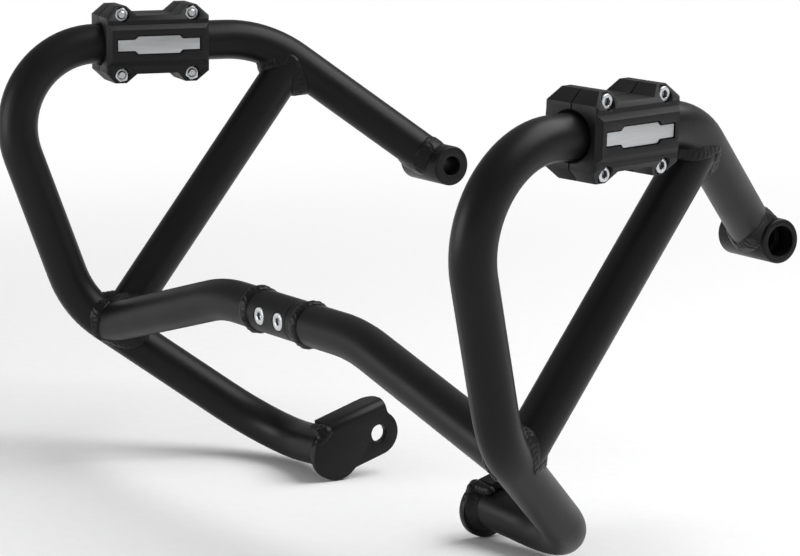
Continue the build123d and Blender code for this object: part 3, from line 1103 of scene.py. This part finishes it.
def nut_seat(points, outward):
    """Seat and direction of a nut: its thinnest way, turned outward."""
    middle = (points.min(axis=0) + points.max(axis=0)) / 2
    axis = np.linalg.svd(points - points.mean(axis=0))[2][2]
    axis = axis if axis @ outward > 0 else -axis
    way = (points - middle) @ axis
    return middle + axis * way.min(), axis


ANY_TURN, SMALL_TURN = pi, 0.15
joint_seats = [screw_seat(p, JOINT_SHANK) for p in islands(nodes["joint_screws"])]
seats = {"joint_screws": (joint_screw, joint_seats, ANY_TURN)}
for side, sign in SIDES:
    screws = [screw_seat(p, CLAMP_SHANK) for p in islands(nodes[side + "_clamp_screws"])]
    seats[side + "_clamp_screws"] = (clamp_screw, screws, ANY_TURN)
    nuts = [nut_seat(p, -screws[0][1]) for p in islands(nodes[side + "_clamp_nuts"])]
    seats[side + "_clamp_nuts"] = (clamp_nut, nuts, SMALL_TURN)
print({name: len(places) for name, (pattern, places, most) in seats.items()})

# %% [markdown]
# Setting the fasteners down
#
# Ten screws could be copied by hand, but a node tree sets the pattern down at every seat and
# also turns each one by a different amount, because no fitter stops every screw at the same
# angle. The nuts were held with a spanner, so they turn only a little.


# %% Scatter tree
def scatter_tree():
    """Sets one pattern down at every point, stood up along the point's own direction."""
    tree, given = new_tree(
        "fasteners",
        [
            ("Pattern", "Object", None),
            ("Turn", "Float", ANY_TURN),
            ("Seed", "Int", 1),
            ("Material", "Material", None),
        ],
    )
    shape = put(tree, "GeometryNodeObjectInfo", {"Object": given["Pattern"]}).outputs["Geometry"]
    axis = put(
        tree, "GeometryNodeInputNamedAttribute", {"Name": "axis"}, data_type="FLOAT_VECTOR"
    ).outputs[0]
    stand = put(tree, "FunctionNodeAlignRotationToVector", {"Vector": axis}, axis="Z").outputs[0]
    spin = put(
        tree,
        "FunctionNodeRandomValue",
        {"Min": 0.0, "Max": given["Turn"], "Seed": given["Seed"]},
        data_type="FLOAT",
    ).outputs["Value"]
    angles = put(tree, "ShaderNodeCombineXYZ", {"Z": spin}).outputs[0]
    spin_turn = put(tree, "FunctionNodeEulerToRotation", {"Euler": angles}).outputs[0]
    turn = put(
        tree,
        "FunctionNodeRotateRotation",
        {"Rotation": stand, "Rotate By": spin_turn},
        rotation_space="LOCAL",
    ).outputs[0]
    points = put(tree, "GeometryNodeMeshToPoints", {"Mesh": given["Geometry"]}).outputs[0]
    placed = put(
        tree,
        "GeometryNodeInstanceOnPoints",
        {"Points": points, "Instance": shape, "Rotation": turn},
    )
    finish_tree(tree, placed.outputs[0], given["Material"])
    return tree


fasteners = scatter_tree()
print("made tree", fasteners.name, "with", len(fasteners.nodes), "nodes")

# %% [markdown]
# Screws and nuts in place
#
# Every seat becomes one point with its direction as an attribute. The screws of a node grow as
# one piece, which stands in for that node, as its solids belong together there too. The
# patterns themselves are removed at the end, since only their copies are part of the bars.


# %% Place the fasteners
def seat_mesh(name, places):
    """One point per seat, with its direction."""
    mesh = bpy.data.meshes.new(name)
    mesh.from_pydata([list(seat) for seat, axis in places], [], [])
    axes = np.array([axis for seat, axis in places], np.float32)
    mesh.attributes.new("axis", "FLOAT_VECTOR", "POINT").data.foreach_set("vector", axes.ravel())
    return mesh


FIRST_SPIN_SEED = 5
for count, (name, (pattern, places, most)) in enumerate(seats.items()):
    sizes = {
        "Pattern": pattern,
        "Turn": most,
        "Seed": FIRST_SPIN_SEED + count,
        "Material": zinc,
    }
    piece = grow(name + "_turned", seat_mesh(name, places), fasteners, sizes)
    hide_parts(name)
    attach(piece, "root")
    print(name, len(places), "placed,", len(piece.data.polygons), "faces")
for pattern in (clamp_screw, joint_screw, clamp_nut):
    bpy.data.objects.remove(pattern)

# %% [markdown]
# Soft edges
#
# No real edge is sharp: a mould leaves a small radius, and plates and turned parts are deburred
# before they are coated. That thin line of light is what makes a black block readable. A Bevel
# node in the shader would fake it for the render alone. Here the clamps, badges, bushes and
# brackets are copied from the CAD model, their flat faces are cleaned of triangles, and a Bevel
# modifier rounds each edge that turns by more than 25 degrees.

# %% Bevelled copies
EDGE_TURN = radians(25)
FLAT_TURN = radians(0.5)


def softened(name, width, slot_name):
    """Copy of a CAD node with rounded edges, standing in for the node."""
    node = nodes[name]
    work = bmesh.new()
    work.from_mesh(node.data)
    bmesh.ops.remove_doubles(work, verts=work.verts, dist=SAME_POINT)
    bmesh.ops.dissolve_limit(work, angle_limit=FLAT_TURN, verts=work.verts, edges=work.edges)
    mesh = bpy.data.meshes.new(name + "_soft")
    work.to_mesh(mesh)
    work.free()
    mesh.materials.append(node.data.materials[0])
    mesh.shade_smooth()
    source = bpy.data.objects.new(name + "_sharp", mesh)
    scene.collection.objects.link(source)
    bevel = source.modifiers.new("edge", "BEVEL")
    bevel.width = width
    bevel.segments = 2
    bevel.limit_method = "ANGLE"
    bevel.angle_limit = EDGE_TURN
    bevel.harden_normals = True
    graph = bpy.context.evaluated_depsgraph_get()
    made = bpy.data.meshes.new_from_object(source.evaluated_get(graph))
    bpy.data.objects.remove(source)
    piece = bpy.data.objects.new(name + "_soft", made)
    scene.collection.objects.link(piece)
    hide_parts(name)
    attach(piece, "root")
    return piece


SOFT_EDGES = (
    ("_clamp_outer", 0.35 * MM, "slider_plastic"),
    ("_badge_outer", 0.15 * MM, "badge_aluminium"),
    ("_clamp_inner", 0.35 * MM, "slider_plastic"),
    ("_badge_inner", 0.15 * MM, "badge_aluminium"),
    ("_upper_bush", 0.4 * MM, "powder_coat"),
    ("_lower_bracket", 0.4 * MM, "powder_coat"),
)
soft_pieces = [softened(side + end, *how) for side, sign in SIDES for end, *how in SOFT_EDGES]
soft_faces = sum(len(piece.data.polygons) for piece in soft_pieces)
print("softened", len(soft_pieces), "pieces,", soft_faces, "faces")

# %% [markdown]
# Floor paper
#
# In a studio the bars stand on a long sheet of white paper. Paper is matt and takes a soft
# shadow, and from further off it is simply white. A curved backdrop would catch shading of its
# own, so the sheet stays flat: near the bars it is matt paper with a faint fibre, and beyond
# them it turns into an even white glow, so that no horizon shows. The fibre is drawn 8 mm
# long, which is coarser than real paper.

# %% Paper material
PAPER_REACH, BACKDROP_START = 0.45, 1.5
fibre_length = 8 * MM
floor_paper, tree, where = blank_material("white_floor_paper")
fibre = put(
    tree, "ShaderNodeTexNoise", {"Vector": where, "Scale": 1 / fibre_length, "Detail": 2.0}
)
paper_tint = put(tree, "ShaderNodeValToRGB", {"Fac": fibre.outputs["Fac"]})
paper_tint.color_ramp.elements[0].color = linear("f6f6f6")
paper_tint.color_ramp.elements[1].color = linear("fbfbfb")
paper = put(tree, "ShaderNodeBsdfDiffuse", {"Color": paper_tint.outputs["Color"]})
away = put(tree, "ShaderNodeVectorMath", {0: where}, operation="LENGTH").outputs["Value"]
fade = put(
    tree,
    "ShaderNodeMapRange",
    {"Value": away, "From Min": PAPER_REACH, "From Max": BACKDROP_START},
    interpolation_type="SMOOTHSTEP",
)
backdrop = put(tree, "ShaderNodeEmission", {"Color": linear("ffffff"), "Strength": 1.0})
sheet = put(
    tree,
    "ShaderNodeMixShader",
    {"Fac": fade.outputs["Result"], 1: paper.outputs["BSDF"], 2: backdrop.outputs["Emission"]},
)
put(tree, "ShaderNodeOutputMaterial", {"Surface": sheet.outputs["Shader"]})
print("made", floor_paper.name)

# %% [markdown]
# Floor
#
# The floor is one large square. A plane could be added with an operator, but a mesh of four
# corners needs no selection and always comes out the same. It lies half a millimetre under the
# bars, because faces at the same height flicker.

# %% Floor
HALF_FLOOR = 30.0
FLOOR_DROP = 0.5 * MM
floor_mesh = bpy.data.meshes.new("floor")
corners = [(x * HALF_FLOOR, y * HALF_FLOOR, 0) for x, y in ((-1, -1), (1, -1), (1, 1), (-1, 1))]
floor_mesh.from_pydata(corners, [], [(0, 1, 2, 3)])
floor = bpy.data.objects.new("floor", floor_mesh)
scene.collection.objects.link(floor)
floor.location.z = -FLOOR_DROP
floor_mesh.materials.append(floor_paper)
print("floor at", round(floor.location.z, 4))

# %% [markdown]
# Room
#
# The room lights every surface softly and alike, so that colours come out as they were mixed.
# What a coated surface mirrors is another matter: a tube reads as round when it mirrors a
# bright horizon below a dimmer ceiling. A panorama picture could bring such a room, but a few
# nodes do. Light Path tells which kind of ray is looking: the camera sees white, and a ray
# that was mirrored or went through glass sees white low down and grey above.

# %% Studio room
ROOM_LIGHT = 0.32
# How steeply a mirrored ray looks up, from 0 at the horizon to 1, and the grey that it sees.
MIRRORED_ROOM = ((0.0, "ffffff"), (0.08, "c3c3c3"), (0.25, "a0a0a0"))
world = bpy.data.worlds.new("studio")
scene.world = world
world.use_nodes = True
tree = world.node_tree
tree.nodes.clear()
looking = put(tree, "ShaderNodeTexCoord").outputs["Generated"]
height = put(tree, "ShaderNodeSeparateXYZ", {"Vector": looking}).outputs["Z"]
mirrored = put(tree, "ShaderNodeValToRGB", {"Fac": height})
stops = mirrored.color_ramp.elements
stops[1].position = MIRRORED_ROOM[2][0]
stops.new(MIRRORED_ROOM[1][0])
for stop, (steepness, grey) in zip(stops, MIRRORED_ROOM):
    stop.color = linear(grey)
path = put(tree, "ShaderNodeLightPath").outputs
sharp = put(
    tree,
    "ShaderNodeMath",
    {0: path["Is Glossy Ray"], 1: path["Is Transmission Ray"]},
    operation="MAXIMUM",
)
even = put(tree, "ShaderNodeBackground", {"Color": linear("ffffff"), "Strength": ROOM_LIGHT})
seen = put(tree, "ShaderNodeBackground", {"Color": linear("ffffff"), "Strength": 1.0})
reflected = put(
    tree, "ShaderNodeBackground", {"Color": mirrored.outputs["Color"], "Strength": 1.0}
)
for_mirrors = put(
    tree,
    "ShaderNodeMixShader",
    {"Fac": sharp.outputs[0], 1: even.outputs["Background"], 2: reflected.outputs["Background"]},
)
sky = put(
    tree,
    "ShaderNodeMixShader",
    {
        "Fac": path["Is Camera Ray"],
        1: for_mirrors.outputs["Shader"],
        2: seen.outputs["Background"],
    },
)
put(tree, "ShaderNodeOutputWorld", {"Surface": sky.outputs["Shader"]})
print("room of", len(tree.nodes), "nodes")

# %% [markdown]
# Softboxes
#
# Two rectangular area lamps stand in for softboxes. A large one hangs high on the right and
# lays a soft light along the tops of the tubes, and a smaller one stands low on the left and
# lifts the faces that look that way. Spot lamps would draw hard shadows, and a sun would light
# the whole floor alike.

# %% Lamps
# name, place, width and height in metres, power in watts
SOFTBOXES = (
    ("softbox_key", (0.5, 1.05, 1.75), 2.0, 1.5, 42),
    ("softbox_left", (-0.72, -1.85, 0.45), 1.2, 0.8, 15),
)
middle = (cad_box[0] + cad_box[1]) / 2
for name, place, width, height, watts in SOFTBOXES:
    lamp = bpy.data.lights.new(name, "AREA")
    lamp.shape = "RECTANGLE"
    lamp.size = width
    lamp.size_y = height
    lamp.energy = watts
    holder = bpy.data.objects.new(name, lamp)
    holder.location = place
    holder.rotation_mode = "QUATERNION"
    holder.rotation_quaternion = (Vector(middle) - Vector(place)).to_track_quat("-Z", "Y")
    scene.collection.objects.link(holder)

# %% [markdown]
# Camera
#
# A long lens about two metres away keeps the two halves nearly the same size, as in a product
# picture. A Track To constraint could aim it, but it can't set the small roll of the picture.
# So the camera's own axes are written as a matrix: right, up and back.

# %% Camera
view_azimuth = radians(56.57)
view_elevation = radians(10.35)
view_roll = radians(0.53)
focal_pixels = 3500
picture_width = 800
camera_place = at(1690.4, -1039.3, 386.2)
back = Vector(
    (
        sin(view_azimuth) * cos(view_elevation),
        -cos(view_azimuth) * cos(view_elevation),
        sin(view_elevation),
    )
)
level_right = Vector((cos(view_azimuth), sin(view_azimuth), 0))
level_up = back.cross(level_right)
right = level_right * cos(view_roll) + level_up * sin(view_roll)
up = level_up * cos(view_roll) - level_right * sin(view_roll)
lens = bpy.data.cameras.new("camera")
lens.sensor_width = 36
lens.lens = focal_pixels / picture_width * lens.sensor_width
lens.clip_start = 0.05
lens.clip_end = 50
camera = bpy.data.objects.new("camera", lens)
turn = Matrix((right, up, back)).transposed()
camera.matrix_world = Matrix.Translation(camera_place) @ turn.to_4x4()
scene.collection.objects.link(camera)
scene.camera = camera
scene.view_settings.view_transform = "Standard"
print("camera at", [round(v, 3) for v in camera.location], "lens", round(lens.lens, 1))
